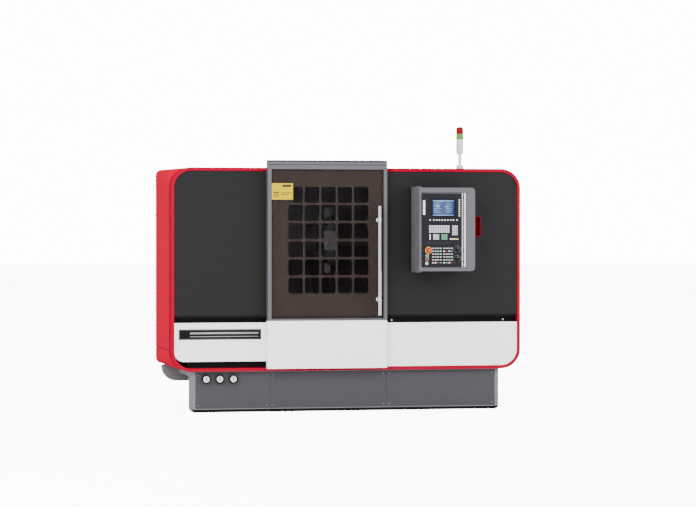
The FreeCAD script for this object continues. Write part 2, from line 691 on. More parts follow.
PANELS = {"fold": 30, "white_step": 7, "white_corner": 72, "white_proud": 4, "recess_hole_left": 930,
          "recess_width": 104, "recess_hole_low": 1321, "recess_height": 148, "recess_corner": 20,
          "cup_depth": 60}
sizes(**PANELS)
tie(white_left_bottom="track_high + fit_gap", white_left_top="recess_low",
    white_right_bottom="base_top + ring_lip + edge_gap", white_right_top="white_left_top - white_step",
    white_right_start="track_right + fit_gap", recess_hole_right="recess_hole_left + recess_width",
    recess_hole_high="recess_hole_low + recess_height")
panel_front, panel_back = "front_y + panel_inset", frame_front
panel_top = "ring_top - ring_lip - fit_gap"
inner_corner = "ring_corner - ring_lip - fit_gap"


def dark_panel(label, x0, x1, outer_x):
    panel = body(label)
    pad(panel, outline(panel, label + "_fold", "YZ_Plane",
                       [(panel_front, panel_top), (panel_front, "dark_bottom"),
                        (f"{panel_back} + fold - skin", "dark_bottom - fold"),
                        (f"{panel_back} + fold", "dark_bottom - fold + skin"),
                        (panel_back, "dark_bottom + skin / 2"), (panel_back, panel_top)], x0),
        f"({x1}) - ({x0})")
    edge_x = at(outer_x)
    rounded(panel, label + "_corner", inner_corner,
            lambda edge, middle: along(edge,
                                       "y") and abs(middle.x - edge_x) < 0.1 and middle.z > at(panel_top) - 1)
    return panel


dark_panel("left_dark_panel", "-panel_edge", opening_left, "-panel_edge")
right_dark = dark_panel("right_dark_panel", "opening_right", "panel_edge", "panel_edge")
pocket(right_dark, outline(right_dark, "hand_hole", "XZ_Plane",
                           rectangle("recess_hole_left", "recess_hole_right",
                                     "recess_hole_low", "recess_hole_high")))
hand_hole_right = at("recess_hole_right")
rounded(right_dark, "hand_hole_corners", "recess_corner",
        lambda edge, middle: along(edge, "y") and abs(middle.x - hand_hole_right) < 0.1)

# Two arms on the right panel carry the control box, each with its pivot pin ----------------------

ARMS = {"box_bottom": 1058, "pivot_radius": 8, "pivot_depth": 12, "arm_skin": 10, "arm_half": 22,
        "arm_gap": 1, "box_left": 487, "box_width": 431, "box_height": 627, "box_gap": 16,
        "box_depth": 264, "pivot_inset": 25, "pivot_setback": 124}
sizes(**ARMS)
tie(box_right="box_left + box_width", box_top="box_bottom + box_height", box_back="front_y - box_gap",
    box_front="box_back - box_depth", pivot_x="box_left + pivot_inset",
    pivot_y="box_back - pivot_setback")


def pivot_arm(name, near, far, pin_start):
    """A flat arm from the right panel, with the pin on which the control box swivels."""
    low, high = (near, far) if name == "upper_arm" else (far, near)
    plate = block(name + "_plate", "pivot_x - arm_half", "pivot_x + arm_half", "pivot_y - arm_half",
                  panel_front, low, high)
    return join(name, plate, rod(name + "_pin", "z", "pivot_radius", pin_start,
                                 "pivot_depth + arm_gap", "pivot_x", "pivot_y", "0"))


group("pendant_arms",
      pivot_arm("upper_arm", "box_top + arm_gap", "box_top + arm_gap + arm_skin",
                "box_top + 1 - pivot_depth"),
      pivot_arm("lower_arm", "box_bottom - arm_gap", "box_bottom - arm_gap - arm_skin",
                "box_bottom - arm_gap - 1"))

# White lower panels: flat plates with one rounded corner each -------------------------------------


def white_panel(label, x0, x1, low, high, corner, at_left):
    panel = body(label)
    pad(panel, outline(panel, label + "_face", "XZ_Plane", rectangle(x0, x1, low, high), f"-({frame_front})"),
        "skin + white_proud")
    edge_x, edge_z = at(x0 if at_left else x1), at(low)
    rounded(panel, label + "_corner", corner,
            lambda edge, middle: along(edge, "y") and abs(middle.x - edge_x) < 0.1
            and abs(middle.z - edge_z) < 0.1)
    return panel


white_panel("left_white_panel", "-panel_edge", opening_left, "white_left_bottom", "white_left_top",
            "white_corner", True)
white_panel("right_white_panel", "white_right_start", "panel_edge", "white_right_bottom", "white_right_top",
            inner_corner, False)

# Hand recess: a red pressed cup in the right panel, behind the edge of the control box ---------

cup = body("hand_recess")
pad(cup, outline(cup, "cup_outside", "XZ_Plane",
                 rectangle("recess_hole_left + running_gap", "recess_hole_right - running_gap",
                           "recess_hole_low + running_gap", "recess_hole_high - running_gap"),
                 "-front_y - cup_depth"), "cup_depth - panel_inset")
cup_right = at("recess_hole_right - running_gap")
rounded(cup, "cup_corners", "recess_corner - running_gap",
        lambda edge, middle: along(edge, "y") and abs(middle.x - cup_right) < 0.1)
pocket(cup, outline(cup, "cup_inside", "XZ_Plane",
                    rectangle("recess_hole_left + skin", "recess_hole_right - skin",
                              "recess_hole_low + skin", "recess_hole_high - skin"),
                    "-front_y"), "cup_depth - skin")

# Door rail on the roof ---------------------------------------------------------------------------

RAIL = {"rail_inset": 24, "rail_right": 300, "rail_y": -478, "rail_width": 12, "rail_rise": 32,
        "rail_foot": 30, "foot_height": 6}
sizes(**RAIL)
tie(rail_left="rail_inset - roof_half", rail_top="roof_top + rail_rise")
join("door_rail",
     block("rail_bar", "rail_left", "rail_right", "rail_y - rail_width / 2", "rail_y + rail_width / 2",
           "roof_top", "rail_top"),
     block("rail_flange", "rail_left", "rail_right", "rail_y - rail_width / 2",
           "rail_y - rail_width / 2 + rail_foot", "roof_top", "roof_top + foot_height"))

# Door: a tube frame with a head beam, hung from two grooved rollers on the rail ----------------

DOOR = {"door_depth": 66, "door_gap": 4, "beam_drop": 12, "beam_height": 68, "door_post": 27,
        "skirt_rise": 19, "skirt_top": 686, "mid_rail_height": 18, "glass_inset": 4, "glass_skin": 7,
        "grid_skin": 4, "hanger_skin": 6, "roller_radius": 20, "roller_width": 18, "roller_inset": 146,
        "roller_outset": 148, "axle_radius": 6, "hanger_width": 70}
sizes(**DOOR)
tie(door_back="front_y - door_gap", door_front="door_back - door_depth",
    beam_bottom="ring_top - beam_drop", beam_top="beam_bottom + beam_height",
    skirt_bottom="base_top + skirt_rise", mid_rail_top="skirt_top + mid_rail_height",
    glass_front="door_front + glass_inset", roller_left_x="door_left + roller_inset",
    roller_right_x="door_right - roller_outset")
roller_z = "rail_top + running_gap + roller_radius"


def hanger(name, x):
    """The bracket that reaches over the ring to a roller, with the roller's axle."""
    arm = block(name + "_arm", f"({x}) - hanger_width / 2", f"({x}) + hanger_width / 2", "door_back",
                "rail_y + roller_width", "beam_top - hanger_skin", "beam_top")
    tab = block(name + "_tab", f"({x}) - hanger_width / 2", f"({x}) + hanger_width / 2",
                "rail_y - roller_width / 2 - running_gap - hanger_skin",
                "rail_y - roller_width / 2 - running_gap", f"{roller_z} - 15", "beam_top - hanger_skin")
    axle = rod(name + "_axle", "y", "axle_radius", "rail_y - roller_width / 2 - running_gap", "roller_width",
               x, "0", roller_z)
    return join(name, arm, tab, axle)


join("door_frame",
     block("head_beam", "door_left", "door_right", "door_front", "door_back", "beam_bottom", "beam_top"),
     block("post_near_head", "door_left", "door_left + door_post", "door_front", "door_back",
           "skirt_top", "beam_bottom"),
     block("post_near_handle", "door_right - door_post", "door_right", "door_front", "door_back",
           "skirt_top", "beam_bottom"),
     block("mid_rail", "door_left", "door_right", "door_front + 8", "door_back", "skirt_top", "mid_rail_top"),
     hanger("hanger_left", "roller_left_x"), hanger("hanger_right", "roller_right_x"))


def roller(label, x):
    return turned(label, "y",
                  [("-roller_width / 2", "axle_radius + running_gap"),
                   ("-roller_width / 2", "roller_radius + 5"),
                   ("-rail_width / 2 - running_gap", "roller_radius + 5"),
                   ("-rail_width / 2 - running_gap", "roller_radius"),
                   ("rail_width / 2 + running_gap", "roller_radius"),
                   ("rail_width / 2 + running_gap", "roller_radius + 5"),
                   ("roller_width / 2", "roller_radius + 5"), ("roller_width / 2",
                                                               "axle_radius + running_gap")],
                  x, "rail_y", roller_z)


roller("door_roller_left", "roller_left_x")
roller("door_roller_right", "roller_right_x")
glass_back = "glass_front + glass_skin"
block("door_glass", "door_left + door_post", "door_right - door_post", "glass_front", glass_back,
      "mid_rail_top", "beam_bottom")
GRID = {"grid_offset": 7, "grid_drop": 191, "bar_across": 16.2, "bar_down": 17.3, "hole_width": 109.6,
        "hole_height": 119, "hole_corner": 17, "grid_columns": 5, "grid_rows": 6}
sizes(**GRID)
tie(grid_centre_x="(door_left + door_right) / 2 + grid_offset", grid_top_z="beam_bottom - grid_drop",
    grid_pitch_x="hole_width + bar_across", grid_pitch_z="hole_height + bar_down")
grid = body("door_grid")
pad(grid, outline(grid, "grid_plate", "XZ_Plane",
                  rectangle("door_left + door_post", "door_right - door_post", "mid_rail_top", "beam_bottom"),
                  f"-({glass_back}) - grid_skin"), "grid_skin")
hole_left = "grid_centre_x - grid_pitch_x * (grid_columns - 1) / 2 - hole_width / 2"
hole_right, hole_low = f"{hole_left} + hole_width", "grid_top_z - hole_height / 2"
hole_high = f"{hole_low} + hole_height"
corners, arcs = rounded_rectangle(hole_left, hole_right, hole_low, hole_high, "hole_corner")
hole = pocket(grid, outline(grid, "grid_hole", "XZ_Plane", corners, "0", arcs))
holes = grid.newObject("PartDesign::MultiTransform", "grid_holes")
holes.Originals = [hole]
steps = []
for name, axis, pitch, count in (("holes_across", "X_Axis", "grid_pitch_x", "grid_columns"),
                                 ("holes_down", "Z_Axis", "grid_pitch_z", "grid_rows")):
    step = grid.newObject("PartDesign::LinearPattern", name)
    step.Direction = (origin(grid, axis), [""])
    step.Reversed = axis == "Z_Axis"
    step.Mode = "Spacing"
    bind(step, "Offset", pitch)
    bind(step, "Occurrences", count)
    steps.append(step)
holes.Transformations = steps
grid.Tip = holes

# Door skirt: a closed white pan below the window, with two shoes that run in the lower track ---

SKIRT = {"skirt_proud": 2, "shoe_height": 22, "shoe_gap": 9, "shoe_reach": 34, "shoe_width": 60,
         "shoe_inset": 46}
sizes(**SKIRT)
tie(shoe_high="track_high - shoe_gap", shoe_low="shoe_high - shoe_height")


def shoe(name, x):
    return block(name, x, f"({x}) + shoe_width", "door_back", "door_back + shoe_reach", "shoe_low",
                 "shoe_high")


join("door_skirt",
     block("skirt_pan", "door_left - skirt_proud", "door_right - skirt_proud", "door_front - skirt_proud",
           "door_back", "skirt_bottom", "skirt_top"),
     shoe("shoe_left", "door_left + shoe_inset"), shoe("shoe_right", "door_right - shoe_inset - shoe_width"))

# Door handle: a chrome tube on two standoffs -----------------------------------------------------

HANDLE = {"handle_inset": 68, "handle_reach": 45, "handle_radius": 15, "handle_low": 730,
          "handle_length": 814, "standoff_radius": 9, "standoff_lead": 114, "standoff_trail": 102}
sizes(**HANDLE)
tie(handle_x="door_right - handle_inset", handle_y="door_front - handle_reach",
    handle_high="handle_low + handle_length", standoff_low="handle_low + standoff_lead",
    standoff_high="handle_high - standoff_trail")
join("door_handle",
     rod("handle_tube", "z", "handle_radius", "handle_low", "handle_high - handle_low", "handle_x",
         "handle_y", "0"),
     rod("standoff_lower", "y", "standoff_radius", "handle_y", "glass_front - handle_y",
         "handle_x", "0", "standoff_low"),
     rod("standoff_upper", "y", "standoff_radius", "handle_y", "glass_front - handle_y",
         "handle_x", "0", "standoff_high"))

# Control box: a pendant that swivels on an upper and a lower pin between two fixed arms ---------

CONTROL_BOX = {"box_corner": 30, "face_side": 16, "face_border": 68, "face_foot": 27, "face_head": 35,
               "face_depth": 8}
sizes(**CONTROL_BOX)
tie(face_left="box_left + face_side", face_right="box_right - face_border",
    face_bottom="box_bottom + face_foot", face_top="box_top - face_head")
housing = body("control_housing")
pad(housing, outline(housing, "box_face", "XZ_Plane",
                     rectangle("box_left", "box_right", "box_bottom", "box_top"), "-box_back"),
    "box_back - box_front")
box_edge = at("box_right")
rounded(housing, "box_corners", "box_corner", lambda edge, middle: along(edge,
                                                                         "y") and middle.x > box_edge - 1)
pocket(housing, outline(housing, "panel_seat", "XZ_Plane",
                        rectangle("face_left", "face_right", "face_bottom", "face_top"), "-box_front"),
       "face_depth")


def pivot_bore(name, start):
    return rod(name, "z", "pivot_radius + running_gap", start, "pivot_depth + arm_gap", "pivot_x", "pivot_y",
               "0")


carve("control_box", housing, pivot_bore("upper_bore", "box_top - pivot_depth"),
      pivot_bore("lower_bore", "box_bottom - arm_gap"))

# Operator panels: screen and keyboard unit above, machine keys, buttons and knobs below --------

UNITS = {"unit_side": 4, "unit_border": 38, "unit_reach": 4, "unit_gap": 7, "unit_head": 10,
         "unit_foot": 6, "lower_height": 176, "key_rise": 2, "key_size": 11, "screen_across": 79,
         "screen_width": 170, "screen_up": 197, "screen_height": 123, "screen_depth": 2,
         "soft_across": 89.3, "soft_pitch": 21.6, "soft_up": 168, "side_key_across": 287,
         "side_key_up": 200, "side_key_pitch": 17, "soft_count": 8, "side_key_count": 8}
sizes(**UNITS)
tie(unit_left="face_left + unit_side", unit_right="face_right - unit_border",
    upper_high="face_top - unit_head", lower_low="face_bottom + unit_foot",
    lower_high="lower_low + lower_height", upper_low="lower_high + unit_gap",
    screen_left="unit_left + screen_across", screen_right="screen_left + screen_width",
    screen_low="upper_low + screen_up", screen_high="screen_low + screen_height",
    soft_x="unit_left + soft_across", soft_z="upper_low + soft_up",
    side_key_x="unit_left + side_key_across", side_key_z="upper_low + side_key_up")
unit_front = "box_front - unit_reach"


def unit_plate(name, low, high):
    return block(name, "unit_left", "unit_right", unit_front, "box_front + face_depth", low, high)


def key(name, x, z, width="key_size", height="key_size"):
    return block(name, f"({x}) - ({width}) / 2", f"({x}) + ({width}) / 2", f"{unit_front} - key_rise",
                 unit_front, f"({z}) - ({height}) / 2", f"({z}) + ({height}) / 2")


def mat(name, x0, x1, z0, z1):
    """A raised moulded keypad."""
    return block(name, x0, x1, f"{unit_front} - key_rise", unit_front, z0, z1)


def upper_mat(name, across, width, up, height):
    """A keypad of the upper unit, laid out from the unit's lower left corner."""
    return mat(name, f"unit_left + {across}", f"unit_left + {across} + {width}", f"upper_low + {up}",
               f"upper_low + {up} + {height}")


MATS = {"letter_across": 51, "letter_width": 161, "letter_up": 71, "letter_height": 59, "number_across": 229,
        "number_width": 47, "number_up": 52, "number_height": 78, "shift_across": 53, "shift_width": 15,
        "low_mat_up": 19, "low_mat_height": 45, "cursor_across": 82, "cursor_width": 50, "edit_across": 147,
        "edit_width": 49, "enter_across": 212, "enter_width": 69, "enter_up": 20, "enter_height": 12,
        "page_key_near": 61.5, "page_key_far": 269}
sizes(**MATS)
mats = [upper_mat("letter_keys", "letter_across", "letter_width", "letter_up", "letter_height"),
        upper_mat("number_keys", "number_across", "number_width", "number_up", "number_height"),
        upper_mat("shift_keys", "shift_across", "shift_width", "low_mat_up", "low_mat_height"),
        upper_mat("cursor_keys", "cursor_across", "cursor_width", "low_mat_up", "low_mat_height"),
        upper_mat("edit_keys", "edit_across", "edit_width", "low_mat_up", "low_mat_height"),
        upper_mat("enter_keys", "enter_across", "enter_width", "enter_up", "enter_height")]


soft_keys = [key(f"soft_key_{step}", f"soft_x + {step} * soft_pitch",
                 "soft_z") for step in times("soft_count")]
side_keys = [key(f"side_key_{step}", "side_key_x", f"side_key_z + {step} * side_key_pitch")
             for step in times("side_key_count")]
screen_well = block("screen_well", "screen_left", "screen_right", f"{unit_front} - 1",
                    f"{unit_front} + screen_depth", "screen_low", "screen_high")
join("operator_panel",
     carve("screen_unit", unit_plate("upper_unit", "upper_low", "upper_high"), screen_well),
     key("page_key_left", "unit_left + page_key_near", "soft_z"),
     key("page_key_right", "unit_left + page_key_far", "soft_z"), *mats, *soft_keys, *side_keys)

CONTROLS = {"stop_across": 49, "stop_up": 124, "stop_radius": 18, "stop_stem": 9, "stop_travel": 4,
            "stop_collar": 23, "collar_skin": 5, "start_across": 38, "start_up": 82, "halt_up": 59.5,
            "push_radius": 9, "push_stem": 6, "push_reach": 9, "push_travel": 3, "key_across": 35,
            "key_up": 26, "key_radius": 8, "knob_across": 271, "knob_up": 131, "knob_radius": 21,
            "knob_reach": 20, "knob_stem": 5, "stem_depth": 7, "keypad_across": 83, "keypad_shift": 86.5,
            "keypad_pitch": 20, "keypad_up": 31, "keypad_step": 21.6, "small_key_height": 9,
            "keypad_rows": 6}
sizes(**CONTROLS)
tie(stop_x="unit_left + stop_across", stop_z="lower_low + stop_up", start_x="unit_left + start_across",
    start_z="lower_low + start_up", halt_z="lower_low + halt_up", key_x="unit_left + key_across",
    key_z="lower_low + key_up", knob_x="unit_left + knob_across", knob_z_high="lower_low + knob_up",
    knob_z_low="halt_z", keypad_x="unit_left + keypad_across", keypad_gap_x="keypad_x + keypad_shift",
    keypad_z="lower_low + keypad_up")
bores = [rod(f"{name}_bore", "y", f"{radius} + running_gap", f"{unit_front} - 20", "40 + face_depth", x, "0",
             z)
         for name, radius, x, z in (("stop", "stop_stem", "stop_x", "stop_z"),
                                    ("start", "push_stem", "start_x", "start_z"),
                                    ("halt", "push_stem", "start_x", "halt_z"),
                                    ("lock", "key_radius", "key_x", "key_z"),
                                    ("knob_high", "knob_stem", "knob_x", "knob_z_high"),
                                    ("knob_low", "knob_stem", "knob_x", "knob_z_low"))]
pads = [mat(f"key_row_{side}_{row}", f"{start} - key_size / 2", f"{start} + keypad_pitch * 3 + key_size / 2",
            f"keypad_z + {row} * keypad_step - small_key_height / 2",
            f"keypad_z + {row} * keypad_step + small_key_height / 2")
        for side, start in (("left", "keypad_x"), ("right", "keypad_gap_x")) for row in times("keypad_rows")]
collar = rod("stop_collar", "y", "stop_collar", f"{unit_front} - collar_skin", "collar_skin", "stop_x", "0",
             "stop_z")
join("machine_panel", carve("button_unit", join("button_plate",
                                                unit_plate("lower_unit", "lower_low", "lower_high"),
                                                collar), *bores), *pads)


def button(label, radius, stem, base_reach, reach, x, z, crown=2):
    """A round push button on its stem, a little above the panel."""
    return turned(label, "y",
                  [("stem_depth", "0"), ("stem_depth", stem), (f"-({base_reach})", stem),
                   (f"-({base_reach})", radius), (f"{crown} - ({reach})", radius),
                   (f"-({reach})", f"({radius}) - {crown} * 2"), (f"-({reach})", "0")],
                  x, unit_front, z)


button("estop_button", "stop_radius", "stop_stem", "collar_skin + stop_travel + running_gap",
       "collar_skin + stop_travel + 22", "stop_x", "stop_z", 5)
button("start_button", "push_radius", "push_stem", "push_travel + running_gap", "push_reach", "start_x",
       "start_z")
button("stop_button", "push_radius", "push_stem", "push_travel + running_gap", "push_reach", "start_x",
       "halt_z")
lock = turned("lock_barrel", "y", [("stem_depth", "0"), ("stem_depth", "key_radius"), ("-3", "key_radius"),
                                   ("-3", "0")],
              "key_x", unit_front, "key_z")
join("key_switch", lock, block("lock_key", "key_x - 1.5", "key_x + 1.5", f"{unit_front} - 18",
                               f"{unit_front} - 3", "key_z - 6", "key_z + 6"))


def knob(label, z):
    """A rotary override knob with a grip bar across its face."""
    barrel = turned(label + "_barrel", "y",
                    [("stem_depth", "0"), ("stem_depth", "knob_stem"), ("-running_gap", "knob_stem"),
                     ("-running_gap", "knob_radius"), ("-knob_reach * 0.4", "knob_radius"),
                     ("-knob_reach * 0.6", "knob_radius * 0.75"), ("-knob_reach * 0.6", "0")],
                    "knob_x", unit_front, z)
    grip = block(label + "_grip", "knob_x - 4", "knob_x + 4", f"{unit_front} - knob_reach",
                 f"{unit_front} - knob_reach * 0.6", f"{z} - knob_radius * 0.75", f"{z} + knob_radius * 0.75")
    return join(label, barrel, grip)


knob("feed_knob", "knob_z_high")
knob("speed_knob", "knob_z_low")

# Signal tower: flange, pole and clear housing, with the green and the red lens on top -----------

TOWER = {"mast_inset": 464, "mast_radius": 27, "pole_radius": 11.5, "mast_flange": 31, "pole_height": 118,
         "housing_height": 106, "green_height": 42, "red_height": 45, "crown_height": 9, "lens_gap": 0.5}
sizes(**TOWER)
tie(mast_x="ring_half - mast_inset", mast_y="front_y + ring_depth / 2", pole_top="ring_top + pole_height",
    housing_top="pole_top + housing_height", green_top="housing_top + green_height",
    red_top="green_top + red_height", tower_top="red_top + crown_height")
turned("signal_mast", "z",
       [("ring_top", "0"), ("ring_top", "mast_radius"), ("ring_top + mast_flange - 6", "mast_radius"),
        ("ring_top + mast_flange", "pole_radius"), ("pole_top - 8", "pole_radius"),
        ("pole_top", "mast_radius"),
        ("housing_top - 30", "mast_radius"), ("housing_top - 28", "mast_radius - 2"),
        ("housing_top - 24", "mast_radius"), ("housing_top", "mast_radius"), ("housing_top", "0")],
       "mast_x", "mast_y", "0")


def lens(name, low, high, crown):
    return turned(name, "z", [(low, "0"), (low, "mast_radius"), (high, "mast_radius"),
                              (crown, "mast_radius * 0.5"),
                              (crown, "0")], "mast_x", "mast_y", "0")


group("signal_lenses", lens("green_lens", "housing_top", "green_top - lens_gap", "green_top"),
      lens("red_lens", "green_top", "red_top", "tower_top"))

# Work area liner: left wall with the spindle hole, chip chute, right wall, fixed way covers ----

LINER = {"liner_lead": 20, "liner_inset": 60, "chute_rise": 18, "liner_hole": 100, "liner_clearance": 40,
         "cover_low": 5, "cover_margin": 25, "fixed_drop": 332, "middle_drop": 340, "wing_drop": 348,
         "cover_skin": 4, "left_cover_length": 320, "right_cover_length": 400, "lip_depth": 3.7}
sizes(**LINER)
tie(cover_high="crest_slope - cover_margin", liner_left="head_face + liner_lead",
    liner_right="bed_right - liner_inset", liner_front_low="sill_top + chute_rise",
    liner_rear="rear_back - liner_clearance")
face_y, face_z = slope_y("toe_slope", "-face_drop"), slope_z("toe_slope", "-face_drop")
crest_y, crest_z = slope_y("crest_slope", "-face_drop"), slope_z("crest_slope", "-face_drop")
roof_under = "roof_top - roof_skin"


def liner_wall(label, x0):
    wall = body(label)
    pad(wall, outline(wall, label + "_side", "YZ_Plane",
                      [("frame_back", "liner_front_low"), (face_y, face_z), (crest_y, crest_z),
                       ("liner_rear", crest_z), ("liner_rear", "rear_low_top"),
                       ("slope_start - 12", f"{roof_under}"), ("frame_back", f"{roof_under}")], x0), "skin")
    return wall


left_wall = carve("left_wall_bored", liner_wall("left_wall", "liner_left"),
                  rod("spindle_hole", "x", "liner_hole", "liner_left - 1", "skin + 2", "0", "spindle_y",
                      "spindle_z"))
notch = lean(join("screw_notch", block("notch_low", "liner_right - 5", "liner_right + skin + 5",
                                       "screw_slope - 25",
                                       "screw_slope + 25", "-face_drop - 5", "-screw_drop + 10"),
                  block("notch_high", "liner_right - 5", "liner_right + skin + 5", "screw_slope - 20",
                        "screw_slope + 20", "-screw_drop", "-screw_drop + 20")))
right_wall = carve("right_wall_notched", liner_wall("right_wall", "liner_right"), notch)
chute = body("chip_chute")
pad(chute, outline(chute, "chute_side", "YZ_Plane",
                   [("frame_back", "liner_front_low - skin"), (face_y, f"{face_z} - skin"),
                    (face_y, face_z), ("frame_back", "liner_front_low")], "liner_left"),
    "liner_right + skin - liner_left")
fixed_covers = lean(join("fixed_covers",
                         block("fixed_cover_left", "liner_left + skin",
                               "liner_left + skin + left_cover_length",
                               "cover_low", "cover_high", "-fixed_drop", "cover_skin - fixed_drop"),
                         block("fixed_cover_right", "liner_right - right_cover_length", "liner_right",
                               "cover_low", "cover_high", "-fixed_drop", "cover_skin - fixed_drop")))
join("work_area_liner", left_wall, right_wall, chute, fixed_covers)

# Lengths of the carriage, which the telescopic covers on both sides of it follow.
CARRIAGE = {"saddle_left": 10, "saddle_length": 390, "saddle_over": 60, "saddle_lift": 300,
            "saddle_rail": 22, "rail_top_drop": 280, "rail_lead": 60, "rail_trail": 100, "nut_lead": 140,
            "nut_length": 60, "nut_half": 32, "slide_lead": 10, "slide_trail": 60, "slide_low": 160,
            "slide_margin": 20, "slide_top": 200}
sizes(**CARRIAGE)
tie(saddle_high="crest_slope + saddle_over", slide_high="crest_slope - slide_margin",
    saddle_right="saddle_left + saddle_length", rail_near="saddle_left + rail_lead",
    rail_far="saddle_right - rail_trail", nut_start="saddle_left + nut_lead",
    slide_left="saddle_left + slide_lead", slide_right="saddle_right - slide_trail")

# Telescopic way covers: the middle plate of each side, with the lip that wipes the plate below --

tie(middle_left_start="(liner_left + skin + saddle_left - left_cover_length) / 2",
    middle_right_start="(liner_right - right_cover_length + saddle_right) / 2")


def middle_cover(label, x0, length, lip_at_start):
    lip_x = x0 if lip_at_start else f"{x0} + {length} - 6"
    return lean(join(label,
                     block(label + "_plate", x0, f"{x0} + {length}", "cover_low", "cover_high",
                           "-middle_drop", "cover_skin - middle_drop"),
                     block(label + "_lip", lip_x, f"{lip_x} + 6", "cover_low", "cover_high",
                           "-middle_drop - lip_depth", "-middle_drop")))


middle_cover("way_cover_left", "middle_left_start", "left_cover_length", False)
middle_cover("way_cover_right", "middle_right_start", "right_cover_length", True)

# Carriage: saddle with its wings, screw nut and the two rails for the cross slide ---------------

saddle_bottom = "running_gap - way_drop"
saddle = join("saddle_casting",
              block("saddle_plate", "saddle_left", "saddle_right", "cover_low + 5", "saddle_high",
                    saddle_bottom, "-saddle_lift"),
              block("cross_rail_near", "rail_near", "rail_near + saddle_rail * 2", "cover_low + 30",
                    "saddle_high",
                    "-saddle_lift", "-rail_top_drop"),
              block("cross_rail_far", "rail_far - saddle_rail * 2", "rail_far", "cover_low + 30",
                    "saddle_high",
                    "-saddle_lift", "-rail_top_drop"),
              block("screw_nut", "nut_start", "nut_start + nut_length", "screw_slope - nut_half",
                    "screw_slope + nut_half", "-face_drop + 4", saddle_bottom),
              block("wing_left_plate", "saddle_left - left_cover_length", "saddle_left", "cover_low",
                    "cover_high", "-wing_drop", "cover_skin - wing_drop"),
              block("wing_right_plate", "saddle_right", "saddle_right + right_cover_length", "cover_low",
                    "cover_high", "-wing_drop", "cover_skin - wing_drop"))
lean(carve("saddle", saddle,
           rod("nut_bore", "x", "screw_radius + running_gap", "nut_start - 1", "nut_length + 2", "0",
               "screw_slope", "-screw_drop")))
rod("carriage_screw", "x", "screw_radius", "screw_start", "screw_end - screw_start", "0",
    slope_y("screw_slope", "-screw_drop"), slope_z("screw_slope", "-screw_drop"))

# Cross slide and turret: the housing with its servo, and the indexing disc ----------------------

TURRET = {"turret_margin": 180, "disc_depth": 90, "turret_face": 0, "housing_half": 140,
          "housing_length": 330, "housing_lift": 130, "boss_radius": 100, "disc_radius": 190,
          "station_count": 8, "bar_count": 4, "slot_width": 32, "slot_reach": 26, "tool_reach": 250,
          "tool_width": 40, "bar_radius": 16, "bar_reach": 80, "bar_offset": 150, "cap_radius": 80,
          "cap_length": 60}
sizes(**TURRET)
tie(turret_slope="crest_slope - turret_margin", turret_left="turret_face - disc_depth",
    housing_right="turret_face + housing_length")
lean(join("cross_slide",
          block("slide_plate", "slide_left", "slide_right", "slide_low", "slide_high",
                "running_gap - rail_top_drop", "-slide_top"),
          block("slide_foot_near", "rail_near - 18 - running_gap", "rail_near - running_gap", "slide_low",
                "slide_high", "-saddle_lift + running_gap", "running_gap - rail_top_drop"),
          block("slide_foot_far", "rail_far + running_gap", "rail_far + 18 + running_gap", "slide_low",
                "slide_high", "-saddle_lift + running_gap", "running_gap - rail_top_drop")))
turret = body("turret_case")
pad(turret, outline(turret, "turret_side", "YZ_Plane",
                    [("turret_slope - housing_half", "-slide_top"),
                     ("turret_slope + housing_half", "-slide_top"),
                     ("turret_slope + housing_half", "housing_lift - 50"),
                     ("turret_slope + housing_half - 50", "housing_lift"),
                     ("turret_slope - housing_half + 50", "housing_lift"),
                     ("turret_slope - housing_half", "housing_lift - 50")], "turret_face + 20"),
    "housing_right - turret_face - 20 - cap_length")
lean(join("turret_housing", turret,
          rod("turret_boss", "x", "boss_radius", "turret_face + running_gap", "20", "0", "turret_slope", "0"),
          rod("turret_cap", "x", "cap_radius", "housing_right - cap_length", "cap_length", "0",
              "turret_slope", "0")))
disc = body("turret_disc")
corners = [(f"disc_radius * cos({step + 0.5} * 360deg / station_count)",
            f"disc_radius * sin({step + 0.5} * 360deg / station_count)") for step in times("station_count")]
pad(disc, outline(disc, "disc_outline", "YZ_Plane", corners, "turret_left"), "turret_face - turret_left")
apothem = "disc_radius * cos(180deg / station_count)"
slot = pocket(disc, outline(disc, "tool_slot", "YZ_Plane",
                            rectangle("-slot_width / 2", "slot_width / 2", f"{apothem} - slot_reach",
                                      f"{apothem} + 10"), "turret_left"), "slot_reach")
slot.Reversed = True
repeat_round(disc, slot, "tool_slots", "station_count")
holder = pad(disc, outline(disc, "tool_block", "YZ_Plane",
                           rectangle("-tool_width / 2", "tool_width / 2", f"{apothem} - 8", "tool_reach"),
                           "turret_left + slot_reach + 6"), "50")
repeat_round(disc, holder, "tool_blocks", "station_count")
boring = pad(disc, outline(disc, "bar_section", "YZ_Plane",
                           rectangle("-bar_radius", "bar_radius", "bar_offset - bar_radius",
                                     "bar_offset + bar_radius"), "turret_left - bar_reach"), "bar_reach + 4")
repeat_round(disc, boring, "boring_bars", "bar_count")
disc.Placement.Rotation = FreeCAD.Rotation(V(1, 0, 0), 1)
bind(disc, "Placement.Rotation.Angle", "slant * 1deg")
place(disc, "0", slope_y("turret_slope", "0"), slope_z("turret_slope", "0"))

# Tailstock: a cast body on its own two ways, the quill and the live centre -----------------------

